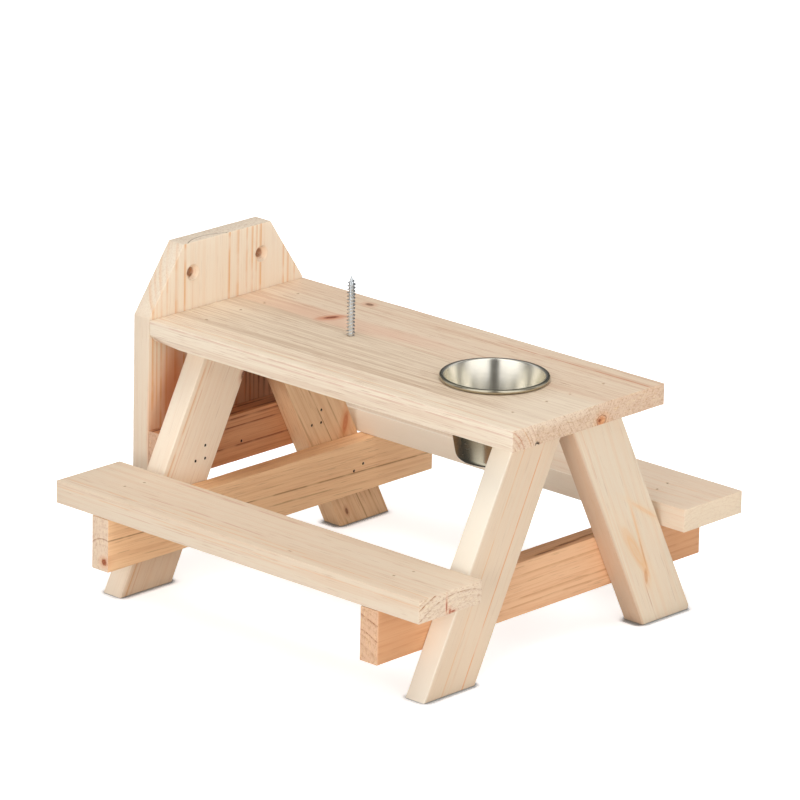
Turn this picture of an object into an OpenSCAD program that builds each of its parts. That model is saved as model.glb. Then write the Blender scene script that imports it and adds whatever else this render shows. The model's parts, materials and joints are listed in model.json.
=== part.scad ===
// Squirrel feeder in the form of a small picnic table, fixed by its back plate to a fence, wall or tree.
// Millimetres. +Z is up with the feet on Z = 0, the free end faces -Y and the back plate faces +Y.

/* [Tabletop] */
// Width of the tabletop, the back plate and the cleat
table_w = 130; // [116:1:150]
// Length of the tabletop from its front end to the back plate
table_l = 287; // [260:1:320]
// Thickness of the tabletop
table_t = 13; // [12:0.5:18]
// Height of the tabletop's upper face
table_h = 153.5; // [146:0.5:170]

/* [Back plate] */
// Thickness of the back plate
plate_t = 13; // [12:0.5:18]
// Height of the plate above the tabletop's upper face
plate_rise = 41; // [34:0.5:60]
// Width of the straight top edge between the clipped corners
plate_crown_w = 73; // [66:1:100]
// Height of the clipped corners' lower ends above the tabletop's upper face
plate_shoulder = 1; // [0:0.5:10]
// Distance between the two fixing holes
fix_spacing = 58; // [40:1:58]
// Depth of the fixing holes below the plate's top edge
fix_drop = 19; // [12:0.5:24]
// Diameter of the fixing holes
fix_hole_d = 5.5; // [4:0.1:6.5]
// Diameter of the countersinks at the plate's front face
fix_sink_d = 10.5; // [8:0.1:12]

/* [Cleat] */
// Height of the cleat
cleat_h = 29.5; // [26:0.5:34]
// Thickness of the cleat
cleat_t = 14; // [12:0.5:18]
// Height of the lower edge of the cleat and the back plate
cleat_z = 56; // [50:0.5:60]

/* [Legs] */
// Width of a leg board
leg_w = 38; // [34:0.5:44]
// Thickness of a leg board
leg_t = 14.5; // [12:0.5:18]
// Slant of the legs from upright, in degrees
leg_angle = 27; // [24:0.5:28]
// Space between the two legs of a pair under the tabletop
leg_gap = 2; // [1:0.5:8]
// Distance from the tabletop's front end to the front legs
front_leg_setback = 16.5; // [6:0.5:30]

/* [Beams and benches] */
// Height of a cross beam
beam_h = 32.5; // [28:0.5:40]
// Thickness of a cross beam
beam_t = 13.5; // [12:0.5:18]
// Height of the benches' upper faces
bench_h = 71.5; // [66:0.5:80]
// Width of a bench
bench_w = 52; // [46:1:64]
// Thickness of a bench
bench_t = 14; // [12:0.5:18]
// Length by which the benches reach past the tabletop's back end
bench_overrun = 1.5; // [0:0.5:10]
// Space between a leg's outer edge and the bench beside it
bench_leg_gap = 1; // [0.5:0.5:4]

/* [Cup] */
// Diameter of the cup hole
hole_d = 60; // [54:0.5:66]
// Distance from the tabletop's front end to the hole's centre
hole_setback = 72.5; // [66:0.5:90]
// Radial space between the cup's wall and the hole
cup_play = 0.4; // [0.3:0.1:1]
// Height of the cup from its base to the top of its rim
cup_h = 51; // [40:0.5:60]
// Thickness of the cup's sheet
cup_wall = 0.7; // [0.5:0.1:1.2]
// Slant of the cup's wall from upright, in degrees
cup_draft = 10.5; // [6:0.5:13]
// Radius between the cup's wall and its base
cup_corner_r = 5; // [3:0.5:7]
// Diameter of the rolled bead on the cup's rim
cup_bead_d = 2.8; // [2.2:0.1:3.4]
// Space between the bead and the tabletop
cup_seat_gap = 0.1; // [0.05:0.05:0.3]

/* [Cob screw] */
// Outer diameter of the screw's thread
screw_d = 5; // [4:0.1:6]
// Diameter of the core under the thread
screw_core_d = 3.2; // [2.4:0.1:3.6]
// Distance from one thread ridge to the next
screw_pitch = 2.1; // [1.6:0.1:2.6]
// Height of the screw's tip above the tabletop
screw_stand = 37; // [25:0.5:45]
// Diameter of the screw's head
screw_head_d = 9; // [8:0.1:11]
// Length of the screw's pointed end
screw_tip_l = 5; // [3:0.5:7]
// Distance from the back plate to the screw
screw_from_plate = 101; // [60:1:140]
// Radial space round the screw in the tabletop
screw_play = 0.1; // [0.05:0.05:0.2]

/* [Nails] */
// Diameter of a nail
nail_d = 1.2; // [1:0.1:1.4]
// Diameter of a nail's head
nail_head_d = 1.7; // [1.5:0.1:2]
// Height of a nail's head
nail_head_h = 0.8; // [0.6:0.1:1.2]
// Length of a nail's point
nail_point = 2; // [1:0.1:3]
// Depth that a nail reaches into the second board
nail_bite = 11; // [8:0.5:11]
// Depth of a nail's head below the surface
nail_sink = 0.4; // [0.2:0.1:0.8]
// Space round a nail in its hole
nail_play = 0.05; // [0.02:0.01:0.1]
// Distance between neighbouring nails of one group
nail_pitch = 8; // [6:0.5:9]
// Height that the two nails of a pair are staggered by
nail_stagger = 3; // [0:0.5:5]
// Distance of a nail from the inner edge of the leg
nail_edge_in = 9; // [8:0.5:11]
// Distance of a nail from the outer edge of the leg's top
nail_edge_out = 5; // [4:0.5:8]
// Distance of the outer nails from the ends of the cleat
cleat_nail_edge = 6; // [4:0.5:7]
// Distance of the outer nails from the sides of the tabletop's back end
plate_nail_edge = 20; // [12:1:30]
// Distance of the inner nails from the bench's inner edge
bench_nail_edge = 17.5; // [12:0.5:20]
// Distance between the nails across a bench
bench_nail_pitch = 13; // [8:0.5:18]

/* [Hidden] */

$fn = 64;
LEFT = -1;
RIGHT = 1;
// Turns about X that point a nail, drawn head up, down, towards the plate or towards the front
DOWN = 0;
BACKWARD = 90;
FORWARD = -90;
// Length by which cutters run past the faces they cut
OVERCUT = 1;
PALE_PINE = "#e6d0b4";
WARM_PINE = "#dcb48c";
STEEL = "#b9b2a2";
NAIL_GREY = "#6e625a";

// Depth stations along Y, with the whole feeder centred on the origin
plate_back_y = (table_l + plate_t) / 2;
plate_y = plate_back_y - plate_t;
front_y = plate_y - table_l;
cleat_y = plate_y - cleat_t;
rear_leg_y = cleat_y - leg_t;
rear_beam_y = rear_leg_y - beam_t;
front_leg_y = front_y + front_leg_setback;
front_beam_y = front_leg_y + leg_t;

// Legs seen from the front
leg_h = table_h - table_t;
leg_top_w = leg_w / cos(leg_angle);
function leg_in_x(z) = leg_gap / 2 + (leg_h - z) * tan(leg_angle);
function leg_mid_x(z) = leg_in_x(z) + leg_top_w / 2;
function leg_out_x(z) = leg_in_x(z) + leg_top_w;

// Benches and beams
bench_z = bench_h - bench_t;
beam_z = bench_z - beam_h;
beam_mid_z = beam_z + beam_h / 2;
bench_in_x = leg_out_x(bench_z) + bench_leg_gap;
bench_out_x = bench_in_x + bench_w;
bench_l = table_l + bench_overrun;
cleat_mid_z = cleat_z + cleat_h / 2;

// Cup
hole_y = front_y + hole_setback;
cup_seat_r = hole_d / 2 - cup_play;
cup_rim_z = table_h + cup_seat_gap + cup_bead_d;
cup_base_z = cup_rim_z - cup_h;
cup_bead_z = cup_rim_z - cup_bead_d / 2;
function cup_wall_r(z) = cup_seat_r - (table_h - z) * tan(cup_draft);

// Screw
screw_y = plate_y - screw_from_plate;
screw_tip_z = table_h + screw_stand;
screw_head_h = (screw_head_d - screw_core_d) / 2;

// Nail heads: each list gives the points where the nails enter
top_nail_xs = [leg_gap / 2 + nail_edge_in, leg_gap / 2 + leg_top_w - nail_edge_out];
function top_nails(side, leg_y) = [for (x = top_nail_xs) [side * x, leg_y + leg_t / 2, table_h]];
function beam_nails(side, face_y) = [for (s = [-1, 1])
    [side * (leg_mid_x(beam_mid_z) + s * nail_pitch / 2), face_y, beam_mid_z + s * nail_stagger / 2]];
// Both legs have the same three: two level with the middle of the cleat, and one over the right-hand one
cleat_nail_mid_x = leg_in_x(cleat_mid_z) + nail_edge_in + nail_pitch / 2;
function cleat_nails(side) = [for (step = [[-0.5, 0], [0.5, 0], [0.5, 1]])
    [side * cleat_nail_mid_x + step[0] * nail_pitch, rear_leg_y, cleat_mid_z + step[1] * nail_pitch]];
cleat_plate_nail_x = table_w / 2 - cleat_nail_edge;
cleat_plate_points = [for (s = [-1, 0, 1]) [s * cleat_plate_nail_x, cleat_y, cleat_mid_z - nail_stagger]];
plate_nail_x = table_w / 2 - plate_nail_edge;
plate_table_points = [for (s = [-1, 0, 1]) [s * plate_nail_x, plate_back_y, table_h - table_t / 2]];
function bench_nails(side) = [for (beam_y = [front_beam_y, rear_beam_y]) for (s = [0, 1])
    [side * (bench_in_x + bench_nail_edge + s * bench_nail_pitch),
     beam_y + beam_t / 2 + (s - 0.5) * nail_stagger, bench_h]];

// One nail with its entry point at the origin, driven towards -Z through a board of the given thickness
module nail(through) {
    tip = through + nail_bite;
    rotate_extrude()
        polygon([[0, -nail_sink], [nail_head_d / 2, -nail_sink], [nail_head_d / 2, -nail_sink - nail_head_h],
            [nail_d / 2, -nail_sink - nail_head_h], [nail_d / 2, nail_point - tip], [0, -tip]]);
}

// The hole that such a nail sits in
module nail_hole(through) {
    depth = through + nail_bite + nail_play;
    translate([0, 0, -depth])
        cylinder(d = nail_d + 2 * nail_play, h = depth);
    translate([0, 0, -nail_sink - nail_head_h - nail_play])
        cylinder(d = nail_head_d + 2 * nail_play, h = nail_sink + nail_head_h + nail_play + OVERCUT);
}

module at_points(points, turn) {
    for (p = points)
        translate(p)
            rotate([turn, 0, 0])
                children();
}

// A square-edged board from its low corner
module board(corner, size) {
    translate(corner)
        cube(size);
}

module tabletop() {
    color(PALE_PINE)
        difference() {
            board([-table_w / 2, front_y, leg_h], [table_w, table_l, table_t]);
            translate([0, hole_y, leg_h - OVERCUT])
                cylinder(d = hole_d, h = table_t + 2 * OVERCUT, $fn = 128);
            screw_bore();
            for (side = [LEFT, RIGHT], leg_y = [front_leg_y, rear_leg_y])
                at_points(top_nails(side, leg_y), DOWN)
                    nail_hole(table_t);
            at_points(plate_table_points, FORWARD)
                nail_hole(plate_t);
        }
}

// Hole and countersink for the cob screw, from the tabletop's underside
module screw_bore() {
    translate([0, screw_y, leg_h]) {
        cylinder(d = screw_d + 2 * screw_play, h = table_t + OVERCUT);
        translate([0, 0, -OVERCUT])
            cylinder(d1 = screw_head_d + 2 * (screw_play + OVERCUT), d2 = screw_core_d + 2 * screw_play,
                h = screw_head_h + OVERCUT);
    }
}

module back_plate() {
    top_z = table_h + plate_rise;
    shoulder_z = table_h + plate_shoulder;
    color(PALE_PINE)
        difference() {
            translate([0, plate_back_y, 0])
                rotate([90, 0, 0])
                    linear_extrude(plate_t)
                        polygon([[-table_w / 2, cleat_z], [table_w / 2, cleat_z], [table_w / 2, shoulder_z],
                            [plate_crown_w / 2, top_z], [-plate_crown_w / 2, top_z],
                            [-table_w / 2, shoulder_z]]);
            for (s = [-1, 1])
                translate([s * fix_spacing / 2, plate_y, top_z - fix_drop])
                    fix_hole();
            at_points(plate_table_points, FORWARD)
                nail_hole(plate_t);
            at_points(cleat_plate_points, BACKWARD)
                nail_hole(cleat_t);
        }
}

// Countersunk fixing hole, entered at the origin towards +Y
module fix_hole() {
    sink_h = (fix_sink_d - fix_hole_d) / 2;
    rotate([-90, 0, 0]) {
        translate([0, 0, -OVERCUT]) {
            cylinder(d = fix_hole_d, h = plate_t + 2 * OVERCUT);
            cylinder(d1 = fix_sink_d + 2 * OVERCUT, d2 = fix_hole_d, h = sink_h + OVERCUT);
        }
    }
}

module back_cleat() {
    color(WARM_PINE)
        difference() {
            board([-table_w / 2, cleat_y, cleat_z], [table_w, cleat_t, cleat_h]);
            at_points(cleat_plate_points, BACKWARD)
                nail_hole(cleat_t);
            for (side = [LEFT, RIGHT])
                at_points(cleat_nails(side), BACKWARD)
                    nail_hole(leg_t);
        }
}

// Slanted leg on one side, with its front face at leg_y
module leg(side, leg_y) {
    translate([0, leg_y + leg_t, 0])
        rotate([90, 0, 0])
            linear_extrude(leg_t)
                polygon([[side * leg_in_x(0), 0], [side * leg_out_x(0), 0],
                    [side * leg_out_x(leg_h), leg_h], [side * leg_in_x(leg_h), leg_h]]);
}

module front_leg(side) {
    color(PALE_PINE)
        difference() {
            leg(side, front_leg_y);
            at_points(top_nails(side, front_leg_y), DOWN)
                nail_hole(table_t);
            at_points(beam_nails(side, front_beam_y + beam_t), FORWARD)
                nail_hole(beam_t);
        }
}

module rear_leg(side) {
    color(PALE_PINE)
        difference() {
            leg(side, rear_leg_y);
            at_points(top_nails(side, rear_leg_y), DOWN)
                nail_hole(table_t);
            at_points(beam_nails(side, rear_beam_y), BACKWARD)
                nail_hole(beam_t);
            at_points(cleat_nails(side), BACKWARD)
                nail_hole(leg_t);
        }
}

module front_left_leg() {
    front_leg(LEFT);
}

module front_right_leg() {
    front_leg(RIGHT);
}

module rear_left_leg() {
    rear_leg(LEFT);
}

module rear_right_leg() {
    rear_leg(RIGHT);
}

// Cross beam with its low face at beam_y, before its own nails are cut
module beam(beam_y) {
    difference() {
        board([-bench_out_x, beam_y, beam_z], [2 * bench_out_x, beam_t, beam_h]);
        for (side = [LEFT, RIGHT])
            at_points(bench_nails(side), DOWN)
                nail_hole(bench_t);
    }
}

module front_beam() {
    color(WARM_PINE)
        difference() {
            beam(front_beam_y);
            for (side = [LEFT, RIGHT])
                at_points(beam_nails(side, front_beam_y + beam_t), FORWARD)
                    nail_hole(beam_t);
        }
}

module rear_beam() {
    color(WARM_PINE)
        difference() {
            beam(rear_beam_y);
            for (side = [LEFT, RIGHT])
                at_points(beam_nails(side, rear_beam_y), BACKWARD)
                    nail_hole(beam_t);
        }
}

module bench(side) {
    low_x = side == LEFT ? -bench_out_x : bench_in_x;
    color(PALE_PINE)
        difference() {
            board([low_x, front_y, bench_z], [bench_w, bench_l, bench_t]);
            at_points(bench_nails(side), DOWN)
                nail_hole(bench_t);
        }
}

module left_bench() {
    bench(LEFT);
}

module right_bench() {
    bench(RIGHT);
}

// Half section of the cup's body, filled to its axis, with the wall moved inwards and the base raised by inset
module cup_section(inset) {
    base_z = cup_base_z + inset;
    corner_r = cup_corner_r - inset;
    lean = inset / cos(cup_draft);
    // Centre of the corner, tangent to both the base and the slanted wall
    centre_z = base_z + corner_r;
    centre_r = cup_wall_r(centre_z) - lean - corner_r / cos(cup_draft);
    arc_steps = 8;
    polygon(concat(
        [[0, base_z]],
        [for (i = [0 : arc_steps])
            let (a = -90 + i * (90 - cup_draft) / arc_steps)
            [centre_r + corner_r * cos(a), centre_z + corner_r * sin(a)]],
        [[cup_wall_r(cup_bead_z) - lean, cup_bead_z + inset], [0, cup_bead_z + inset]]));
}

module feed_cup() {
    bead_r = cup_wall_r(cup_bead_z) - cup_wall + cup_bead_d / 2;
    color(STEEL)
        translate([0, hole_y, 0]) {
            rotate_extrude($fn = 128)
                difference() {
                    cup_section(0);
                    cup_section(cup_wall);
                }
            translate([0, 0, cup_bead_z])
                rotate_extrude($fn = 128)
                    translate([bead_r, 0])
                        circle(d = cup_bead_d);
        }
}

// Wood screw with its flat head in the tabletop's underside and its ridges up to the pointed end
module cob_screw() {
    thread_z = leg_h + screw_head_h;
    turns = floor((screw_tip_z - screw_tip_l - thread_z) / screw_pitch);
    color(STEEL)
        translate([0, screw_y, 0])
            rotate_extrude()
                polygon(concat(
                    [[0, leg_h], [screw_head_d / 2, leg_h], [screw_core_d / 2, thread_z]],
                    [for (i = [0 : turns - 1], step = [0, 1])
                        [step == 0 ? screw_core_d / 2 : screw_d / 2, thread_z + (i + step / 2) * screw_pitch]],
                    [[screw_core_d / 2, thread_z + turns * screw_pitch], [0, screw_tip_z]]));
}

module tabletop_leg_nails() {
    color(NAIL_GREY)
        for (side = [LEFT, RIGHT], leg_y = [front_leg_y, rear_leg_y])
            at_points(top_nails(side, leg_y), DOWN)
                nail(table_t);
}

module front_beam_nails() {
    color(NAIL_GREY)
        for (side = [LEFT, RIGHT])
            at_points(beam_nails(side, front_beam_y + beam_t), FORWARD)
                nail(beam_t);
}

module rear_beam_nails() {
    color(NAIL_GREY)
        for (side = [LEFT, RIGHT])
            at_points(beam_nails(side, rear_beam_y), BACKWARD)
                nail(beam_t);
}

module cleat_leg_nails() {
    color(NAIL_GREY)
        for (side = [LEFT, RIGHT])
            at_points(cleat_nails(side), BACKWARD)
                nail(leg_t);
}

module cleat_plate_nails() {
    color(NAIL_GREY)
        at_points(cleat_plate_points, BACKWARD)
            nail(cleat_t);
}

module plate_tabletop_nails() {
    color(NAIL_GREY)
        at_points(plate_table_points, FORWARD)
            nail(plate_t);
}

module left_bench_nails() {
    color(NAIL_GREY)
        at_points(bench_nails(LEFT), DOWN)
            nail(bench_t);
}

module right_bench_nails() {
    color(NAIL_GREY)
        at_points(bench_nails(RIGHT), DOWN)
            nail(bench_t);
}

tabletop();
back_plate();
back_cleat();
front_left_leg();
front_right_leg();
rear_left_leg();
rear_right_leg();
front_beam();
rear_beam();
left_bench();
right_bench();
feed_cup();
cob_screw();
tabletop_leg_nails();
front_beam_nails();
rear_beam_nails();
cleat_leg_nails();
cleat_plate_nails();
plate_tabletop_nails();
left_bench_nails();
right_bench_nails();
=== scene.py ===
"""Looks of a pine squirrel feeder: grained boards, a spun steel feed cup, a zinc cob screw and brad heads."""
import json
import math
from collections import namedtuple

import bmesh
import bpy
from mathutils import Matrix, Vector


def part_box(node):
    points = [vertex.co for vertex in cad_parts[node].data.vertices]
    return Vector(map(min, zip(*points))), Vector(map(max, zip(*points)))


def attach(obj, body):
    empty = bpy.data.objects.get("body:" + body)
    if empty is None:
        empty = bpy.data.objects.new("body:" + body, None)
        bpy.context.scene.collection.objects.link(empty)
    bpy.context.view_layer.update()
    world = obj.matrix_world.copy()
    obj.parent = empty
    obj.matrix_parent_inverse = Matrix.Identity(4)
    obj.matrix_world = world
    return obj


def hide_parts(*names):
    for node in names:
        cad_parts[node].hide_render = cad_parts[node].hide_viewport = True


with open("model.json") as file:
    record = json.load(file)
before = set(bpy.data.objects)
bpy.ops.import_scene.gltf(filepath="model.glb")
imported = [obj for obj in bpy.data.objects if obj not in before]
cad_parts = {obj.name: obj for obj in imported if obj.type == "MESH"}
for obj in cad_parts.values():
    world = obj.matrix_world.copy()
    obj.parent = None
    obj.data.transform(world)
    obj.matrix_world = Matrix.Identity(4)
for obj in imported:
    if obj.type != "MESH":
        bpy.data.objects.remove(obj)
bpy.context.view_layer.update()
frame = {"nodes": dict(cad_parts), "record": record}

MM = 0.001
PER_MM = (1 / MM, 1 / MM, 1 / MM)
UP = Vector((0, 0, 1))
bpy.context.scene.view_settings.view_transform = "Standard"


# Camera: a long lens from the front left, a little above the tabletop
AIM = Vector((11.31, 5.96, 118.45)) * MM
CAMERA_DISTANCE = 3550.8 * MM
CAMERA_AZIMUTH = math.radians(-47.418)
CAMERA_ELEVATION = math.radians(17.824)
CAMERA_ROLL = math.radians(1.295)
LENS_MM = 273.9
SENSOR_MM = 36


def place_camera():
    turn = (Matrix.Rotation(CAMERA_AZIMUTH, 4, "Z")
            @ Matrix.Rotation(math.radians(90) - CAMERA_ELEVATION, 4, "X")
            @ Matrix.Rotation(CAMERA_ROLL, 4, "Z"))
    bpy.ops.object.camera_add()
    camera = bpy.context.object
    camera.name = "feeder_camera"
    camera.data.lens = LENS_MM
    camera.data.sensor_width = SENSOR_MM
    camera.matrix_world = Matrix.Translation(AIM + turn @ (UP * CAMERA_DISTANCE)) @ turn
    bpy.context.scene.camera = camera


# Bench work: small steps that every piece is made with
WELD = 0.001 * MM


def hold(piece):
    """Makes this piece the only one selected, and the active one."""
    bpy.ops.object.select_all(action="DESELECT")
    piece.select_set(True)
    bpy.context.view_layer.objects.active = piece


def open_piece(piece):
    """Puts one piece alone in edit mode, with nothing on it selected."""
    hold(piece)
    bpy.ops.object.mode_set(mode="EDIT")
    bpy.ops.mesh.select_all(action="DESELECT")


def close_piece():
    bpy.ops.object.mode_set(mode="OBJECT")


def pick_all():
    bpy.ops.mesh.select_all(action="SELECT")


def pick(piece, kind, wanted):
    """Selects the verts, edges or faces of the open piece for which wanted is true."""
    bpy.ops.mesh.select_mode(type={"verts": "VERT", "edges": "EDGE", "faces": "FACE"}[kind])
    bpy.ops.mesh.select_all(action="DESELECT")
    mesh = bmesh.from_edit_mesh(piece.data)
    for item in getattr(mesh, kind):
        item.select_set(bool(wanted(item)))
    mesh.select_flush_mode()
    bmesh.update_edit_mesh(piece.data)


def finish_with(piece, kind, **settings):
    """Adds a modifier with these settings and applies it."""
    hold(piece)
    modifier = piece.modifiers.new(kind.lower(), kind)
    for name, value in settings.items():
        setattr(modifier, name, value)
    bpy.ops.object.modifier_apply(modifier=modifier.name)


def smooth_over(piece, angle):
    """Shades a piece smooth, apart from edges sharper than an angle in degrees."""
    hold(piece)
    bpy.ops.object.shade_smooth_by_angle(angle=math.radians(angle))


def fix_place():
    """Puts the held piece's place, turn and size into its mesh."""
    bpy.ops.object.transform_apply(location=True, rotation=True, scale=True)


def block(name, low, high):
    """A squared block between two corners."""
    bpy.ops.object.select_all(action="DESELECT")
    bpy.ops.mesh.primitive_cube_add(size=1, location=(low + high) / 2)
    piece = bpy.context.object
    piece.name = piece.data.name = name
    piece.scale = high - low
    fix_place()
    return piece


def saw(point, normal, drop=False):
    """Cuts the open piece along a plane; drop takes off the side that the normal points to."""
    pick_all()
    bpy.ops.mesh.bisect(plane_co=point, plane_no=normal, use_fill=drop, clear_outer=drop)


def traced(name, points):
    """A piece that is one line through these points, left open and selected all over."""
    bpy.ops.object.select_all(action="DESELECT")
    bpy.ops.mesh.primitive_plane_add(size=MM, location=points[0])
    piece = bpy.context.object
    piece.name = piece.data.name = name
    fix_place()
    open_piece(piece)
    pick_all()
    bpy.ops.mesh.merge(type="CENTER")
    for here, there in zip(points, points[1:]):
        bpy.ops.mesh.extrude_vertices_move(TRANSFORM_OT_translate={"value": there - here})
    pick_all()
    return piece


def turned(name, outline, centre, steps):
    """Spins an outline of (radius, height) points round an upright axis through centre."""
    piece = traced(name, [centre + Vector((radius, 0, height)) for radius, height in outline])
    bpy.ops.mesh.spin(steps=steps, angle=math.tau, center=centre, axis=UP)
    pick_all()
    bpy.ops.mesh.remove_doubles(threshold=WELD)
    bpy.ops.mesh.normals_make_consistent(inside=False)
    close_piece()
    return piece


def arc(centre, radius, start, end, steps):
    """Points (radius, height) along an arc, angles in degrees."""
    angles = [math.radians(start + (end - start) * k / steps) for k in range(steps + 1)]
    return [(centre[0] + radius * math.cos(a), centre[1] + radius * math.sin(a)) for a in angles]


def drill(piece, cutter):
    """Takes a cutter's shape out of a piece, and the cutter away."""
    finish_with(piece, "BOOLEAN", operation="DIFFERENCE", solver="EXACT", object=cutter)
    bpy.data.objects.remove(cutter)


def settle(piece, place, facing=UP):
    """Turns an upright piece at the origin so that its top points along facing, and moves it to its place."""
    hold(piece)
    piece.rotation_euler = UP.rotation_difference(Vector(facing)).to_euler()
    piece.location = place
    fix_place()


def axis_of(node):
    """The foot of the upright axis through a node's middle."""
    low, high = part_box(node)
    return Vector(((low.x + high.x) / 2, (low.y + high.y) / 2, 0))


# Boards: sawn and planed pine with eased edges, a slight waver and brad dimples
EDGE_EASE = 0.5 * MM
EASE_SEGMENTS = 3
WAVER_GRID = 7 * MM
WAVER_DEPTH = 0.25 * MM
WAVER_SPREAD = 22 * MM
WAVER_MIDDLE = 1.0
DIMPLE_RADIUS = 0.95 * MM
DIMPLE_DEPTH = 1.2 * MM
DIMPLE_STEPS = 14
BRAD_REACH = 2.5 * MM
HOLE_RADIUS = 30 * MM
HOLE_EASE = 0.5 * MM
HOLE_STEPS = 96
COUNTERSINK_RADIUS = 5.25 * MM
COUNTERSINK_DEPTH = 2.5 * MM
COUNTERSINK_FLARE = 0.5 * MM
FIXING_STEPS = 40
CHIP_SIZE = Vector((2.4, 6, 2.4)) * MM
CHIP_X = -44 * MM
WANE_END = 112 * MM
WANE_FACING = Vector((-0.75, 0.11, -0.6))
HEEL_CUT = 2.6 * MM
HEEL_FACING = Vector((0.85, 0, -0.55))
CUT_PAST = 2 * MM
SAME_PLACE = 0.2 * MM
BOARD_SMOOTH = 40

BRADS_FACE = {
    "tabletop_leg_nails": (0, 0, 1),
    "front_beam_nails": (0, 1, 0),
    "rear_beam_nails": (0, -1, 0),
    "cleat_leg_nails": (0, -1, 0),
    "cleat_plate_nails": (0, -1, 0),
    "plate_tabletop_nails": (0, 1, 0),
    "left_bench_nails": (0, 0, 1),
    "right_bench_nails": (0, 0, 1),
}

waver = bpy.data.textures.new("plane_waver", "CLOUDS")
waver.noise_scale = WAVER_SPREAD


def span_at(node, height):
    """Lowest and highest x of a node's corners at a height."""
    across = [v.co.x for v in frame["nodes"][node].data.vertices if abs(v.co.z - height) < SAME_PLACE]
    return min(across), max(across)


def brad_heads(node):
    """Middle of each brad's head in a node, at the head's outer face."""
    facing = Vector(BRADS_FACE[node])
    brads = []
    for vert in frame["nodes"][node].data.vertices:
        flat = vert.co - facing * vert.co.dot(facing)
        for brad in brads:
            if (brad[0][0] - flat).length < BRAD_REACH:
                brad.append((flat, vert.co.dot(facing)))
                break
        else:
            brads.append([(flat, vert.co.dot(facing))])
    heads = []
    for brad in brads:
        low = Vector(map(min, *[flat for flat, reach in brad]))
        high = Vector(map(max, *[flat for flat, reach in brad]))
        heads.append((low + high) / 2 + facing * max(reach for flat, reach in brad))
    return heads


def dimple_brads(piece, node):
    """Sinks a small round dimple over each brad head that lies on this board."""
    corners = [Vector(corner) for corner in piece.bound_box]
    margin = Vector((MM, MM, MM))
    low = Vector(map(min, *corners)) - margin
    high = Vector(map(max, *corners)) + margin
    outline = [(0, -DIMPLE_DEPTH), (0.85 * DIMPLE_RADIUS, -DIMPLE_DEPTH), (DIMPLE_RADIUS, 0),
               (1.5 * DIMPLE_RADIUS, CUT_PAST), (0, CUT_PAST)]
    for head in brad_heads(node):
        if all(low[k] < head[k] < high[k] for k in range(3)):
            cutter = turned("dimple_cutter", outline, Vector(), DIMPLE_STEPS)
            settle(cutter, head, BRADS_FACE[node])
            drill(piece, cutter)


def plane_smooth(piece, low, high):
    """Eases every edge, then gives the faces a slight waver from the plane."""
    open_piece(piece)
    pick_all()
    bpy.ops.mesh.bevel(offset=EDGE_EASE, segments=EASE_SEGMENTS, affect="EDGES", clamp_overlap=True)
    for axis in range(3):
        cuts = round((high[axis] - low[axis]) / WAVER_GRID)
        normal = Vector([float(axis == k) for k in range(3)])
        for k in range(1, cuts):
            saw(low + normal * (high[axis] - low[axis]) * k / cuts, normal)
    close_piece()
    finish_with(piece, "DISPLACE", texture=waver, texture_coords="LOCAL",
                strength=WAVER_DEPTH, mid_level=WAVER_MIDDLE)


def make_board(node, shape=None):
    """A board in the place of a CAD node; shape saws the open block before its edges are eased."""
    low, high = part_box(node)
    piece = block(node + "_board", low, high)
    if shape:
        open_piece(piece)
        shape(piece, low, high)
        close_piece()
    plane_smooth(piece, low, high)
    return piece


def clip_plate(piece, low, high):
    """Saws off the two upper corners of the back plate."""
    corners = frame["nodes"]["back_plate"].data.vertices
    crown = span_at("back_plate", high.z)[1]
    shoulder = max(v.co.z for v in corners if high.x - v.co.x < SAME_PLACE)
    for side in (-1, 1):
        run = Vector((side * (high.x - crown), 0, shoulder - high.z))
        saw(Vector((side * crown, 0, high.z)), run.cross(Vector((0, side, 0))), drop=True)


def nick_tabletop(piece, low, high):
    """The sliver of wane along the lower left edge by the plate."""
    saw(Vector((low.x, WANE_END, low.z)), WANE_FACING, drop=True)


def lean_leg(node):
    """The saw work that turns a block into a leaning leg, level at both ends."""
    def shape(piece, low, high):
        foot, top = span_at(node, low.z), span_at(node, high.z)
        for end, span in ((-1, foot), (1, top)):
            for side, place in ((-1, span[0]), (1, span[1])):
                box_edge = low.x if side < 0 else high.x
                pick(piece, "verts", lambda v: (v.co.z - (low.z + high.z) / 2) * end > 0
                     and (v.co.x - box_edge) * side > -SAME_PLACE)
                bpy.ops.transform.translate(value=(place - box_edge, 0, 0))
        if node == "front_right_leg":
            saw(Vector((foot[1] - HEEL_CUT, 0, 0)), HEEL_FACING, drop=True)
    return shape


def make_tabletop():
    piece = make_board("tabletop", nick_tabletop)
    low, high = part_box("tabletop")
    wide = HOLE_RADIUS + HOLE_EASE
    outline = [(0, low.z - CUT_PAST), (wide + CUT_PAST, low.z - CUT_PAST), (wide, low.z),
               (HOLE_RADIUS, low.z + HOLE_EASE), (HOLE_RADIUS, high.z - HOLE_EASE), (wide, high.z),
               (wide + CUT_PAST, high.z + CUT_PAST), (0, high.z + CUT_PAST)]
    drill(piece, turned("cup_hole_cutter", outline, axis_of("feed_cup"), HOLE_STEPS))
    chip = block("chip_cutter", -CHIP_SIZE / 2, CHIP_SIZE / 2)
    settle(chip, Vector((CHIP_X, low.y, low.z)), (1, 0, 1))
    drill(piece, chip)
    dimple_brads(piece, "tabletop_leg_nails")
    return piece


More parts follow.
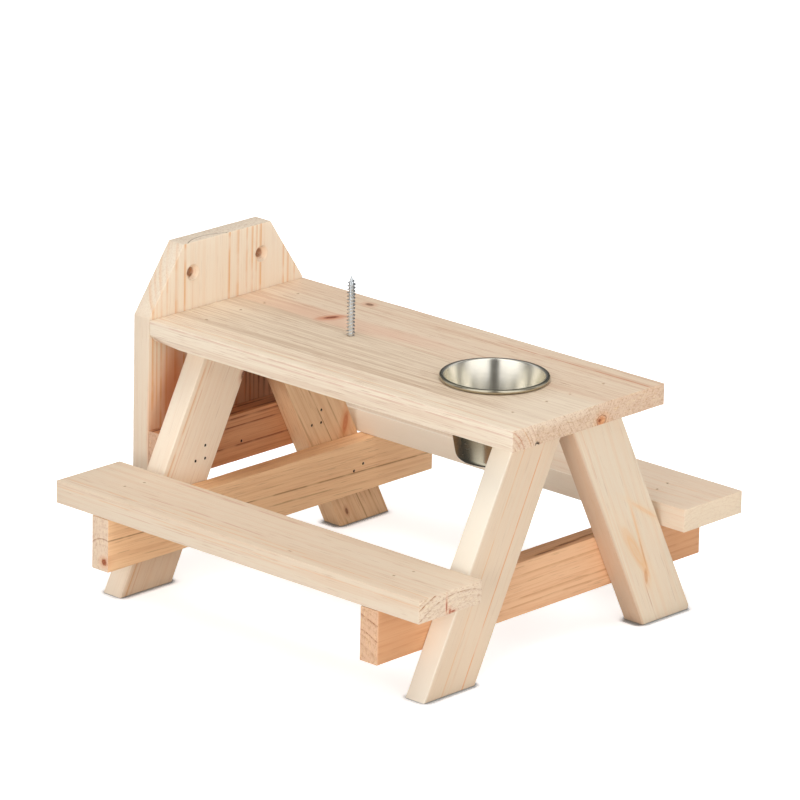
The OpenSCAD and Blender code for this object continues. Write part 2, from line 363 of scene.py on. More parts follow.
def make_back_plate():
    piece = make_board("back_plate", clip_plate)
    low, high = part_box("back_plate")
    mount = next(m for m in frame["record"]["mounts"] if m["name"] == "fixing_holes")
    radius = mount["dims"]["hole_r_mm"] * MM
    thick = high.y - low.y
    outline = [(0, -thick - CUT_PAST), (radius, -thick - CUT_PAST), (radius, -COUNTERSINK_DEPTH),
               (COUNTERSINK_RADIUS, 0), (COUNTERSINK_RADIUS + COUNTERSINK_FLARE, CUT_PAST), (0, CUT_PAST)]
    for side in (-1, 1):
        cutter = turned("fixing_hole_cutter", outline, Vector(), FIXING_STEPS)
        across = side * mount["dims"]["spacing_x_mm"] / 2 * MM
        settle(cutter, Vector((across, low.y, mount["pos_m"][2])), (0, -1, 0))
        drill(piece, cutter)
    dimple_brads(piece, "plate_tabletop_nails")
    return piece


def make_boards():
    boards = {"tabletop": make_tabletop(), "back_plate": make_back_plate()}
    for node in ("front_beam", "rear_beam", "back_cleat", "left_bench", "right_bench"):
        boards[node] = make_board(node)
        dimple_brads(boards[node], "cleat_plate_nails" if node == "back_cleat" else node + "_nails")
    for end in ("front", "rear"):
        for side in ("left", "right"):
            node = f"{end}_{side}_leg"
            boards[node] = make_board(node, lean_leg(node))
            if end == "rear":
                dimple_brads(boards[node], "cleat_leg_nails")
    for node, piece in boards.items():
        smooth_over(piece, BOARD_SMOOTH)
        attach(piece, "table")
        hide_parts(node)


# Feed cup: a pressed steel cup with a rolled rim
CUP_WALL = 0.7 * MM
CUP_DRAFT = math.radians(10.5)
CUP_CORNER = 5 * MM
CUP_BEAD = 1.4 * MM
CUP_CURL_START = 238
CUP_CORNER_STEPS = 8
CUP_BEAD_STEPS = 18
CUP_STEPS = 128
CUP_SMOOTH = 50


def make_cup():
    low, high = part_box("feed_cup")
    bead = ((high.x - low.x) / 2 - CUP_BEAD, high.z - CUP_BEAD)
    lean = math.tan(CUP_DRAFT)
    inner_at_bead = bead[0] - CUP_BEAD * math.cos(CUP_DRAFT)
    wall_across = CUP_WALL / math.cos(CUP_DRAFT)
    corner_z = low.z + CUP_CORNER
    touch_z = corner_z - CUP_CORNER * math.sin(CUP_DRAFT)
    outer_at_touch = inner_at_bead + wall_across - (bead[1] - touch_z) * lean
    corner = (outer_at_touch - CUP_CORNER * math.cos(CUP_DRAFT), corner_z)
    draft = math.degrees(CUP_DRAFT)
    outline = [(0, low.z)]
    outline += arc(corner, CUP_CORNER, -90, -draft, CUP_CORNER_STEPS)
    outline += arc(bead, CUP_BEAD, CUP_CURL_START, 540 - draft, CUP_BEAD_STEPS)
    outline += arc(corner, CUP_CORNER - CUP_WALL, -draft, -90, CUP_CORNER_STEPS)
    outline += [(0, low.z + CUP_WALL)]
    piece = turned("spun_feed_cup", outline, axis_of("feed_cup"), CUP_STEPS)
    smooth_over(piece, CUP_SMOOTH)
    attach(piece, "cup")
    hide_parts("feed_cup")
    return piece


# Cob screw: a long wood screw, point up
SCREW_HEAD_RADIUS = 4.5 * MM
SCREW_HEAD_EDGE = 0.5 * MM
SCREW_CORE = 1.45 * MM
SCREW_CREST = 2.5 * MM
SCREW_PITCH = 2.1 * MM
SCREW_TIP = 5 * MM
SCREW_STEPS = 32
SCREW_SMOOTH = 35
CORE_RINGS = 12
THREAD_SINK = 0.2 * MM
THREAD_ROOT_HALF = 0.42 * MM
THREAD_CREST_HALF = 0.1 * MM
THREAD_SHADE = (1.5, 1.9)
POINT_SLICES = 24
POINT_SHARE = 0.04
NUDGE = 1e-7


def make_screw():
    low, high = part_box("cob_screw")
    axis = axis_of("cob_screw")
    neck = low.z + SCREW_HEAD_EDGE + SCREW_HEAD_RADIUS - SCREW_CORE
    tip = high.z - SCREW_TIP
    core = [(0, low.z), (SCREW_HEAD_RADIUS, low.z), (SCREW_HEAD_RADIUS, low.z + SCREW_HEAD_EDGE)]
    core += [(SCREW_CORE, neck + (tip - neck) * k / CORE_RINGS) for k in range(CORE_RINGS + 1)]
    core += [(SCREW_CORE, tip + SCREW_TIP * k / CORE_RINGS) for k in range(1, CORE_RINGS + 1)]
    core += [(0, high.z)]
    piece = turned("cob_screw_turned", core, axis, SCREW_STEPS)
    thread = cut_thread(axis, neck + SCREW_PITCH / 2, high.z)
    hold(piece)
    thread.select_set(True)
    bpy.ops.object.join()
    sharpen(piece, axis, tip, high.z)
    smooth_over(piece, SCREW_SMOOTH)
    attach(piece, "table")
    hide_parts("cob_screw")
    return piece


def cut_thread(axis, start, end):
    """One helical ridge round the core, closed at both ends."""
    turns = math.floor((end - start) / SCREW_PITCH) - 1
    root = SCREW_CORE - THREAD_SINK
    profile = [(root, -THREAD_ROOT_HALF), (SCREW_CREST, -THREAD_CREST_HALF),
               (SCREW_CREST, THREAD_CREST_HALF), (root, THREAD_ROOT_HALF)]
    thread = traced("cob_screw_thread", [Vector((radius, 0, height)) for radius, height in profile])
    bpy.ops.mesh.edge_face_add()
    bpy.ops.mesh.delete(type="ONLY_FACE")
    close_piece()
    finish_with(thread, "SCREW", axis="Z", angle=math.tau, screw_offset=SCREW_PITCH, iterations=turns,
                steps=SCREW_STEPS, render_steps=SCREW_STEPS, use_merge_vertices=False)
    open_piece(thread)
    bpy.ops.mesh.select_mode(type="EDGE")
    bpy.ops.mesh.select_non_manifold()
    bpy.ops.mesh.fill()
    pick_all()
    bpy.ops.mesh.normals_make_consistent(inside=False)
    close_piece()
    settle(thread, axis + UP * start)
    return thread


def sharpen(piece, axis, start, end):
    """Draws the upper end in to a point, slice by slice."""
    open_piece(piece)
    for k in range(POINT_SLICES):
        low, high = (start + (end - start) * share / POINT_SLICES for share in (k, k + 1))
        last = k == POINT_SLICES - 1
        pick(piece, "verts", lambda v: low < v.co.z - NUDGE and (last or v.co.z - NUDGE <= high))
        shrink = max(POINT_SHARE, 1 - (k + 1) / POINT_SLICES)
        bpy.ops.transform.resize(value=(shrink, shrink, 1), center_override=axis)
    close_piece()


# Finishes: small helpers for shader nodes
def tone(red, green, blue):
    """A colour from its 0 to 255 display levels."""
    return (*[((level / 255 + 0.055) / 1.055) ** 2.4 for level in (red, green, blue)], 1)


def put(tree, kind, sockets=(), **options):
    """Adds a shader node, sets its options, and fills or links its sockets by name or number."""
    node = tree.nodes.new("ShaderNode" + kind)
    for name, value in options.items():
        setattr(node, name, value)
    for socket, value in dict(sockets).items():
        if isinstance(value, bpy.types.NodeSocket):
            tree.links.new(value, node.inputs[socket])
        else:
            node.inputs[socket].default_value = value
    return node


def calc(tree, operation, *values, clamp=False):
    return put(tree, "Math", enumerate(values), operation=operation, use_clamp=clamp).outputs[0]


def times(tree, product, *values):
    """The product of two or more values."""
    for value in values:
        product = calc(tree, "MULTIPLY", product, value)
    return product


def vector(tree, operation, *values):
    node = put(tree, "VectorMath", enumerate(values), operation=operation)
    return node.outputs["Value" if operation in ("LENGTH", "DOT_PRODUCT") else "Vector"]


def blend(tree, share, under, over, mode="MIX"):
    """Lays one colour over another."""
    node = put(tree, "Mix", {0: share, 6: under, 7: over}, data_type="RGBA", blend_type=mode)
    return node.outputs[2]


def mix(tree, share, first, second):
    """A value between two others."""
    return put(tree, "Mix", {0: share, 2: first, 3: second}).outputs[0]


def fade(tree, value, start, end, low=0.0, high=1.0):
    """A soft step of value from low to high between start and end."""
    sockets = {"Value": value, "From Min": start, "From Max": end, "To Min": low, "To Max": high}
    return put(tree, "MapRange", sockets, interpolation_type="SMOOTHSTEP").outputs[0]


def noise(tree, where, scale, seed=0.0, detail=2.0, rough=0.5):
    sockets = {"Vector": where, "W": seed, "Scale": scale, "Detail": detail, "Roughness": rough}
    return put(tree, "TexNoise", sockets, noise_dimensions="4D").outputs


def line_noise(tree, place, detail):
    """Noise along one line."""
    sockets = {"W": place, "Scale": 1.0, "Detail": detail}
    return put(tree, "TexNoise", sockets, noise_dimensions="1D").outputs[0]


def jitter(tree, where, scale, seed, detail, reach):
    """A small shift to and fro, up to half of reach each way."""
    shift = vector(tree, "SUBTRACT", noise(tree, where, scale, seed, detail)["Color"], (0.5, 0.5, 0.5))
    return put(tree, "VectorMath", {0: shift, "Scale": reach}, operation="SCALE").outputs[0]


def ramp(tree, value, stops):
    """A grey ramp through (place, level) stops."""
    node = put(tree, "ValToRGB", {0: value})
    steps = node.color_ramp.elements
    while len(steps) < len(stops):
        steps.new(0.5)
    for step, (place, level) in zip(steps, stops):
        step.position = place
        step.color = (level, level, level, 1)
    return node.outputs[0]


def new_group(name, inputs, outputs):
    """An empty shader group, its sockets listed by kind; gives its tree, inputs by name and output node."""
    group = bpy.data.node_groups.new(name, "ShaderNodeTree")
    for in_out, kinds in (("INPUT", inputs), ("OUTPUT", outputs)):
        for kind, sockets in kinds.items():
            for socket in sockets:
                group.interface.new_socket(socket, in_out=in_out, socket_type="NodeSocket" + kind)
    given = group.nodes.new("NodeGroupInput").outputs
    return group, given, group.nodes.new("NodeGroupOutput")


def hand_out(group, out, **results):
    for socket, result in results.items():
        group.links.new(result, out.inputs[socket])


def use(tree, group, sockets):
    """Places a shader group and gives its outputs."""
    return put(tree, "Group", sockets, node_tree=group).outputs


def new_material(name):
    """An empty material; gives it and its node tree."""
    material = bpy.data.materials.new(name)
    material.use_nodes = True
    material.node_tree.nodes.clear()
    return material, material.node_tree


def dress(piece, material):
    piece.data.materials.clear()
    piece.data.materials.append(material)


# Wood: growth rings round a heart line, fibres, resin dashes, ring lines, knots and end grain
def make_stave_group():
    """Pine cut from a log. Vector is in mm from the heart, with the grain along Z."""
    group, given, out = new_group(
        "pine_stave",
        {"Vector": ["Vector"], "Color": ["Early", "Late"],
         "Float": ["Ring Width", "Waviness", "Seed", "Contrast", "Figure", "Blush Share"]},
        {"Color": ["Color"], "Float": ["Late", "Height", "Radius"]})
    where, seed, figure = given["Vector"], given["Seed"], given["Figure"]
    drawn = vector(group, "MULTIPLY", where, (1, 1, 0.12))
    bent = vector(group, "ADD", where, jitter(group, drawn, 0.045, seed, 2, given["Waviness"]))
    radius = vector(group, "LENGTH", vector(group, "MULTIPLY", bent, (1, 1, 0)))
    count = calc(group, "DIVIDE", radius, given["Ring Width"])
    pace = line_noise(group, calc(group, "MULTIPLY_ADD", count, 0.31, seed), 1.0)
    rings = calc(group, "MULTIPLY_ADD", pace, 2.0, count)
    year = put(group, "TexWhiteNoise", {"W": calc(group, "ADD", calc(group, "FLOOR", rings), seed)},
               noise_dimensions="1D").outputs["Value"]
    late = ramp(group, calc(group, "FRACT", rings),
                [(0, 0.25), (0.06, 0.0), (0.5, 0.0), (0.8, 0.3), (0.93, 1.0), (1.0, 0.7)])
    late = times(group, late, calc(group, "MULTIPLY_ADD", times(group, year, year), 0.85, 0.15))
    broken = noise(group, vector(group, "MULTIPLY", where, (0.4, 0.4, 0.018)), 1.0, seed, 2)[0]
    late = times(group, late, fade(group, broken, 0.36, 0.6, 0.25, 1.0))
    strands = vector(group, "MULTIPLY", where, (1, 1, 0.02))
    fibre = noise(group, strands, 1.5, seed, 3, 0.65)[0]
    streak = noise(group, strands, 0.3, seed, 2, 0.6)[0]
    blush = noise(group, vector(group, "MULTIPLY", where, (1, 1, 0.1)), 0.05, seed, 2)[0]
    dash = noise(group, vector(group, "MULTIPLY", where, (1, 1, 0.03)), 1.6, seed, 2, 0.6)[0]
    colour = blend(group, times(group, late, given["Contrast"]), given["Early"], given["Late"])
    blushed = times(group, fade(group, blush, 0.42, 0.7), given["Blush Share"])
    colour = blend(group, blushed, colour, BLUSH, "MULTIPLY")
    for marks, start, end, share, tint in (
            (streak, 0.48, 0.66, 0.4, given["Late"]),
            (fibre, 0.48, 0.68, 0.45, given["Late"]),
            (dash, 0.6, 0.68, 0.6, RESIN)):
        shown = times(group, fade(group, marks, start, end, 0.0, share), figure)
        colour = blend(group, shown, colour, tint)
    height = calc(group, "MULTIPLY_ADD", late, 0.6, fibre)
    hand_out(group, out, Color=colour, Late=late, Height=height, Radius=radius)
    return group


def make_ring_line_group():
    """One dark ring that shows as a line on the faces and an arc on the ends, fainter here and there."""
    group, given, out = new_group(
        "ring_line",
        {"Color": ["Color", "Tint"],
         "Float": ["Radius", "At", "Width", "Along", "Start", "End", "Share", "Share On Ends", "End Face"]},
        {"Color": ["Color"]})
    off = calc(group, "SUBTRACT", given["Radius"], given["At"])
    off = calc(group, "DIVIDE", off, given["Width"])
    inner = fade(group, off, -2.6, -0.1)
    outer = fade(group, off, 0.35, 0.7, 1.0, 0.0)
    begun = fade(group, calc(group, "SUBTRACT", given["Along"], given["Start"]), 0, 12)
    to_go = fade(group, calc(group, "SUBTRACT", given["End"], given["Along"]), 0, 12)
    faint = line_noise(group, calc(group, "MULTIPLY_ADD", given["Along"], 0.045, given["At"]), 2.0)
    faint = fade(group, faint, 0.3, 0.55, 0.3, 1.0)
    strength = mix(group, given["End Face"], given["Share"], given["Share On Ends"])
    share = times(group, inner, outer, begun, to_go, faint, strength)
    hand_out(group, out, Color=blend(group, share, given["Color"], given["Tint"]))
    return group


def make_knot_group():
    """A knot: a dark core with its own rings, a thin dark rim and a warm halo. Vector is in knot radii."""
    group, given, out = new_group(
        "knot",
        {"Vector": ["Vector"], "Color": ["Color", "Core", "Halo"],
         "Float": ["Core Share", "Rim Share", "Halo Share"]},
        {"Color": ["Color"]})
    where = given["Vector"]
    far = vector(group, "LENGTH", vector(group, "ADD", where, jitter(group, where, 1.4, 0.7, 3, 0.45)))
    halo = times(group, fade(group, far, 0.9, 2.4, 1.0, 0.0), given["Halo Share"])
    rings = calc(group, "MULTIPLY_ADD", calc(group, "SINE", times(group, far, 17)), 0.15, 0.85)
    core = times(group, fade(group, far, 0.55, 1.1, 1.0, 0.0), rings, given["Core Share"])
    rim = fade(group, calc(group, "ABSOLUTE", calc(group, "SUBTRACT", far, 1)), 0.02, 0.1, 1.0, 0.0)
    core = calc(group, "MAXIMUM", core, times(group, rim, given["Rim Share"]))
    colour = blend(group, halo, given["Color"], given["Halo"])
    hand_out(group, out, Color=blend(group, core, colour, given["Core"]))
    return group


def make_end_grain_group():
    """Sawn ends: dark broken rings, open pores and torn fibres. End is 1 on an end face."""
    group, given, out = new_group(
        "end_grain",
        {"Vector": ["Vector"], "Color": ["Color"], "Float": ["Late", "Height", "End", "Lines", "Pores"]},
        {"Color": ["Color"], "Float": ["Height", "Roughness"]})
    pores = noise(group, vector(group, "MULTIPLY", given["Vector"], (0.45, 1.1, 1)), 1.2, 0.3, 3, 0.7)[0]
    torn = noise(group, vector(group, "MULTIPLY", given["Vector"], (0.25, 1, 1)), 0.8, 0.9, 2)[0]
    arcs = times(group, given["Late"], given["Lines"], given["End"], fade(group, torn, 0.35, 0.6, 0.3, 1.0))
    colour = blend(group, arcs, given["Color"], END_ARC, "MULTIPLY")
    open_end = times(group, given["End"], given["Pores"])
    spots = times(group, fade(group, pores, 0.5, 0.62, 0.0, 0.45), open_end)
    colour = blend(group, spots, colour, END_PORE, "MULTIPLY")
    tears = times(group, fade(group, torn, 0.5, 0.8, 0.0, 0.3), open_end)
    colour = blend(group, tears, colour, END_TEAR, "OVERLAY")
    pits = times(group, pores, 2.5, open_end)
    rough = calc(group, "MULTIPLY_ADD", given["Height"], -0.1, 0.66)
    rough = calc(group, "MULTIPLY_ADD", given["End"], 0.2, rough)
    hand_out(group, out, Color=colour, Height=calc(group, "SUBTRACT", given["Height"], pits), Roughness=rough)
    return group


# Which way each board's grain runs: the turn that brings the grain on to Z
ALONG_Y = (math.radians(90), 0, 0)
ALONG_Z = (0, 0, 0)
ALONG_X = (0, math.radians(90), 0)
LEFT_LEAN = (0, math.radians(-27), 0)
RIGHT_LEAN = (0, math.radians(27), 0)

BLUSH = tone(240, 205, 182)
RESIN = tone(176, 124, 90)
END_PALE = tone(226, 208, 189)
END_ARC = tone(182, 132, 100)
END_PORE = tone(211, 180, 157)
END_TEAR = tone(250, 236, 214)
# Painted light: a paler tint laid on faces that turn to the left, where the low left lamp falls
PAINTED_LIGHT_PALE = tone(249, 240, 223)
ORANGE_LINE = tone(227, 170, 110)
RED_LINE = tone(196, 122, 88)
BROWN_LINE = tone(160, 102, 68)
GLUE_LINE = tone(186, 146, 114)
FULL_RUN = (-400, 400)
# Painted reflection: wood that lies further off is drawn darker where steel mirrors it
MIRRORED_TONE = tone(62, 59, 52)
MIRRORED_SHARE = 0.62
MIRRORED_FROM = (60 * MM, 110 * MM)


# One stave of a board: where its heart lay, and the wood that grew round it
stave = namedtuple("stave", "heart ring seed early late contrast figure wave blush tilt lines",
                   defaults=(3.0, 0.06, (0, 0), ()))
# A strong ring that passes through a place (across, depth), over a run along the grain
line = namedtuple("line", "place width tint share run on_ends", defaults=(FULL_RUN, 0.1))
# A knot or flame; turn is how far it lies askew on the board's face, in degrees
knot = namedtuple("knot", "middle radii core halo core_share halo_share rim_share turn",
                  defaults=(0.85, 0.5, 0.0, 0))
# Painted shade: a soft patch whose tint multiplies the wood darker, with the grain still showing through
painted_shade = namedtuple("painted_shade", "middle radii tint share")
# The wall of a round hole, drawn nearly white as painted light in the hole's shade
bore = namedtuple("bore", "middle radius tint share")


def patch(middle, radii, tint, share):
    """A soft patch of another tint, with no core."""
    return knot(middle, radii, tint, tint, 0, share)


def off_mark(tree, board, mark, turn=0):
    """Where a spot on the board lies from a mark's middle, in the mark's radii."""
    sockets = {"Vector": board, "Location": mark.middle, "Scale": mark.radii,
               "Rotation": (0, math.radians(turn), 0)}
    return put(tree, "Mapping", sockets, vector_type="TEXTURE").outputs[0]


def grow(tree, log, board, along, ending, end_tint, end_share):
    """One stave: its colour with its strong rings, its late wood and its height."""
    shift = (-log.heart[0], -log.heart[1], 0)
    turn = (math.radians(log.tilt[0]), math.radians(log.tilt[1]), 0)
    heart = put(tree, "Mapping", {"Vector": vector(tree, "ADD", board, shift), "Rotation": turn}).outputs[0]
    grown = use(tree, STAVE, {
        "Vector": heart, "Ring Width": log.ring, "Waviness": log.wave, "Seed": log.seed,
        "Contrast": log.contrast, "Figure": log.figure, "Early": log.early, "Late": log.late,
        "Blush Share": log.blush})
    colour = blend(tree, times(tree, ending, end_share), grown["Color"], end_tint)
    for ring in log.lines:
        colour = use(tree, RING_LINE, {
            "Color": colour, "Radius": grown["Radius"], "At": math.dist(ring.place, log.heart),
            "Width": ring.width, "Along": along, "Start": ring.run[0], "End": ring.run[1],
            "Tint": ring.tint, "Share": ring.share, "Share On Ends": ring.on_ends,
            "End Face": ending})["Color"]
    return colour, grown["Late"], grown["Height"]


def pine(node, grain, staves, joints=(), painted_shades=(), knots=(), hole=None, end_tint=END_PALE, end_share=0.4,
         end_lines=0.6, end_pores=1.0):
    """Dresses a board in bare pine. Staves meet at joints across X; places are in mm, the grain along Z."""
    material, tree = new_material("pine_" + node)
    spot = put(tree, "TexCoord").outputs["Object"]
    board = put(tree, "Mapping", {"Vector": spot, "Rotation": grain, "Scale": PER_MM}).outputs[0]
    across, _, along = put(tree, "SeparateXYZ", {0: board}).outputs
    facing = put(tree, "NewGeometry").outputs["Normal"]
    facing = put(tree, "Mapping", {"Vector": facing, "Rotation": grain}, vector_type="VECTOR").outputs[0]
    ending = calc(tree, "ABSOLUTE", put(tree, "SeparateXYZ", {0: facing}).outputs["Z"])
    ending = fade(tree, ending, 0.4, 0.75)
    colour, late, height = grow(tree, staves[0], board, along, ending, end_tint, end_share)
    for log, joint in zip(staves[1:], joints):
        there = grow(tree, log, board, along, ending, end_tint, end_share)
        past = fade(tree, across, joint - 0.1, joint + 0.1)
        colour = blend(tree, past, colour, there[0])
        late = mix(tree, past, late, there[1])
        height = mix(tree, past, height, there[2])
        seam = calc(tree, "ABSOLUTE", calc(tree, "SUBTRACT", across, joint))
        colour = blend(tree, fade(tree, seam, 0.1, 0.45, 0.4, 0.0), colour, GLUE_LINE)
    # Painted shade: soft patches that multiply the colour darker where shade falls
    for mark in painted_shades:
        shaded = fade(tree, vector(tree, "LENGTH", off_mark(tree, board, mark)), 0.9, 2.4, mark.share, 0.0)
        colour = blend(tree, shaded, colour, mark.tint, "MULTIPLY")
    # Painted light: the hole's wall is drawn nearly white, with fewer pores
    if hole:
        off_axis = vector(tree, "MULTIPLY", vector(tree, "SUBTRACT", board, hole.middle), (1, 0, 1))
        bore_light = vector(tree, "LENGTH", off_axis)
        bore_light = fade(tree, bore_light, hole.radius + 0.1, hole.radius + 0.5, hole.share, 0.0)
        colour = blend(tree, bore_light, colour, hole.tint)
        end_pores = calc(tree, "MULTIPLY_ADD", bore_light, -end_pores, end_pores)
    for mark in knots:
        colour = use(tree, KNOT, {
            "Color": colour, "Vector": off_mark(tree, board, mark, mark.turn), "Core": mark.core,
            "Core Share": mark.core_share, "Rim Share": mark.rim_share, "Halo": mark.halo,
            "Halo Share": mark.halo_share})["Color"]
    ended = use(tree, END_GRAIN, {
        "Color": colour, "Late": late, "Height": height, "Vector": board, "End": ending,
        "Lines": end_lines, "Pores": end_pores})
    bump = put(tree, "Bump", {"Strength": 0.6, "Distance": 0.06 * MM, "Height": ended["Height"]})
    # Painted reflection: steel mirrors wood that lies further off darker than it is
    rays = put(tree, "LightPath").outputs
    mirrored = fade(tree, rays["Ray Length"], *MIRRORED_FROM, 0.0, MIRRORED_SHARE)
    mirrored = times(tree, mirrored, rays["Is Glossy Ray"])
    colour = blend(tree, mirrored, ended["Color"], MIRRORED_TONE)
    shader = put(tree, "BsdfPrincipled", {
        "Base Color": colour, "Roughness": ended["Roughness"], "Normal": bump.outputs[0],
        "Specular IOR Level": 0.25})
    put(tree, "OutputMaterial", {"Surface": shader.outputs[0]})
    dress(bpy.data.objects[node + "_board"], material)


def tabletop_pine():
    """Three staves glued edge to edge; across is x, depth is -z, along is y."""
    left = stave((-74, -134), 2.4, 3.1, tone(240, 223, 199), tone(202, 156, 122), 0.4, 0.9, lines=[
        line((-64.6, -152.4), 0.4, RED_LINE, 0.5, on_ends=0.6),
        line((-65, -149.4), 0.35, RED_LINE, 0.55, (-160, 60), on_ends=0.5),
        line((-65, -144.8), 0.3, BROWN_LINE, 0.35, (95, 150)),
        line((-57, -153.5), 0.4, ORANGE_LINE, 0.4, on_ends=0.4)])
    middle = stave((-150, -60), 1.6, 8.4, tone(231, 212, 187), tone(188, 152, 121), 0.42, 1.1)
    right = stave((120, -96), 2.2, 5.7, tone(231, 210, 185), tone(200, 154, 120), 0.42, 1.0, blush=0.25,
                  lines=[line((53, -153.5), 0.45, RED_LINE, 0.75, (-170, -28))])
    pink, chip_shade, planed = tone(226, 178, 152), tone(40, 28, 20), tone(242, 225, 202)
    amber, honey = tone(226, 168, 120), tone(248, 204, 164)
    # The cup hole's wall is drawn nearly white: painted light
    cup_hole = bore((0, 0, axis_of("feed_cup").y / MM), HOLE_RADIUS / MM, tone(255, 244, 222), 0.9)
    pine("tabletop", ALONG_Y, [left, middle, right], joints=(-44.4, 7.6), hole=cup_hole,
         end_tint=tone(223, 186, 156), end_share=0.47, end_lines=0.7, knots=[
        patch((-26, -154, -140), (26, 3, 16), planed, 0.5),
        # Painted light: the tabletop's left side is drawn a little paler
        patch((-67, -147, 0), (2, 40, 260), PAINTED_LIGHT_PALE, 0.25),
        patch((17, -154, 62), (6, 40, 32), pink, 0.35),
        patch((22, -154, 5), (5, 40, 18), pink, 0.25),
        knot((17.3, -154, 68.2), (5.8, 6, 3.2), tone(206, 138, 104), tone(214, 152, 120), 0.4, 0.5, turn=22),
        knot((18.1, -154, 68.6), (5.6, 6, 2.1), tone(120, 58, 36), tone(200, 128, 96), 0.95, 0.5, turn=24),
        knot((53.6, -154, 71), (2.4, 4, 3.4), tone(112, 72, 48), tone(214, 160, 128), 0.9, 0.5),
        knot((10.6, -143, -151), (3.8, 3.0, 9), tone(222, 146, 88), amber, 0.75, 0.4),
        knot((10.6, -143, -151), (4.0, 3.2, 9), tone(156, 84, 46), amber, 0, 0, 0.8),
        knot((8.8, -143.4, -151), (1.4, 1.1, 6), tone(128, 58, 36), tone(190, 110, 64), 0.9, 0.4),
        # Painted shade: a dark spot in the chip at the tabletop's front lower edge
        knot((-44, -141, -150), (2.2, 2.2, 5), chip_shade, chip_shade, 1.0, 0.0),
        knot((30, -141, -77), (6, 5, 11), honey, tone(250, 222, 190), 0.7, 0.2),
        knot((30, -141, -77), (6, 5, 11), tone(200, 124, 80), amber, 0, 0, 0.6),
        knot((30, -141, -79), (4, 2, 6), tone(244, 172, 118), honey, 0.7, 0.3)])


def back_plate_pine():
    """One wide board with its rings showing as upright lines; across is x, depth is y, along is z."""
    front = 137
    lines = [line((x, front), width, ORANGE_LINE, share, on_ends=0) for x, width, share in (
        (2.4, 0.5, 0.75), (9.6, 0.8, 0.5), (16.9, 0.6, 0.5), (21.5, 0.7, 0.65), (25.1, 0.6, 0.55),
        (28.6, 0.8, 0.7), (48.5, 0.8, 0.55), (52.4, 0.7, 0.6), (57.8, 0.6, 0.5))]
    lines.append(line((0.3, front), 0.3, tone(120, 92, 72), 0.0, on_ends=0.8))
    wood = stave((-16.75, 112.8), 3.5, 2.2, tone(241, 224, 201), tone(230, 184, 138), 0.15, 0.3, 1.0,
                 lines=lines)
    # Painted shade on the plate's front under the tabletop: a warm wide patch, a darker one between the rear
    # legs and a warm one by the rear left leg; a faint painted shade on the left edge face
    warm_shade, shade, edge_shade = tone(255, 212, 182), tone(200, 185, 180), tone(249, 247, 246)
    painted_shades = [painted_shade((0, front - 1.5, 88), (50, 2, 26), warm_shade, 0.9),
              painted_shade((12, front - 1.5, 88), (22, 2, 30), shade, 1.0),
              painted_shade((-44, front - 1.5, 112), (6, 2, 22), tone(238, 188, 156), 0.8),
              painted_shade((-66, front + 6, 100), (1.5, 40, 160), edge_shade, 1.0)]
    drilled, torn = tone(224, 136, 70), tone(226, 170, 118)
    streak = tone(96, 52, 34)
    knots = [knot((side * 29, front + 5, 175.5), (3.2, 5, 3.2), drilled, torn, 0.85, 0.3)
             for side in (-1, 1)]
    # Dark grain streaks drawn only on the plate's front below the tabletop: grain, made darker there as
    # painted shade
    knots += [knot((x, front, 112), (wide, 2, 32), streak, streak, share, 0) for x, wide, share in (
        (17.4, 0.7, 0.6), (20.6, 0.9, 0.45), (24, 0.6, 0.55), (28.3, 1, 0.6), (33, 1.6, 0.5), (38, 2.4, 0.6))]
    pine("back_plate", ALONG_Z, [wood], painted_shades=painted_shades, knots=knots, end_tint=tone(220, 205, 186),
         end_share=0.8, end_lines=0.15)


def bench_pines():
    """Two flat-sawn seat boards; across is x, depth is -z, along is y."""
    late = tone(218, 174, 138)
    crack, crack_glow = tone(172, 74, 38), tone(224, 152, 112)
    left = stave((-106, -8), 3.4, 6.6, tone(231, 212, 188), late, 0.25, 0.55, lines=[
        line((-120.8, -71.5), 0.14, RED_LINE, 0.45, (-20, 90)),
        line((-126, -71.5), 0.14, ORANGE_LINE, 0.5, (-60, 60)),
        line((-131.5, -71.5), 0.22, ORANGE_LINE, 0.5),
        line((-134.5, -71.5), 0.16, RED_LINE, 0.35, (20, 150))])
    right = stave((112, -2), 3.6, 9.3, tone(229, 209, 186), late, 0.2, 0.55, lines=[
        line((117.2, -71.5), 0.05, ORANGE_LINE, 0.4, (-150, -90))])
    pine("left_bench", ALONG_Y, [left], end_tint=tone(238, 214, 188), end_share=0.35, end_lines=2.2, knots=[
        knot((-116.2, -62.8, -151), (0.7, 4.4, 3), crack, crack_glow, 0.9, 0.35),
        knot((-113.4, -59.2, -151), (1.1, 2.2, 3), crack, crack_glow, 0.9, 0.3),
        knot((-110.8, -58.8, -151), (2.4, 0.8, 3), crack, crack_glow, 0.9, 0.2),
        knot((-129.8, -72, -42), (0.5, 2, 1.4), tone(150, 100, 70), late)])
    # The right bench's inner side, in the tabletop's shade, is drawn paler: painted light
    pine("right_bench", ALONG_Y, [right], end_tint=tone(238, 217, 188), end_share=0.7,
         end_lines=0.35, end_pores=0.3, knots=[patch((84.9, -64, 60), (2, 40, 118), PAINTED_LIGHT_PALE, 0.9)])


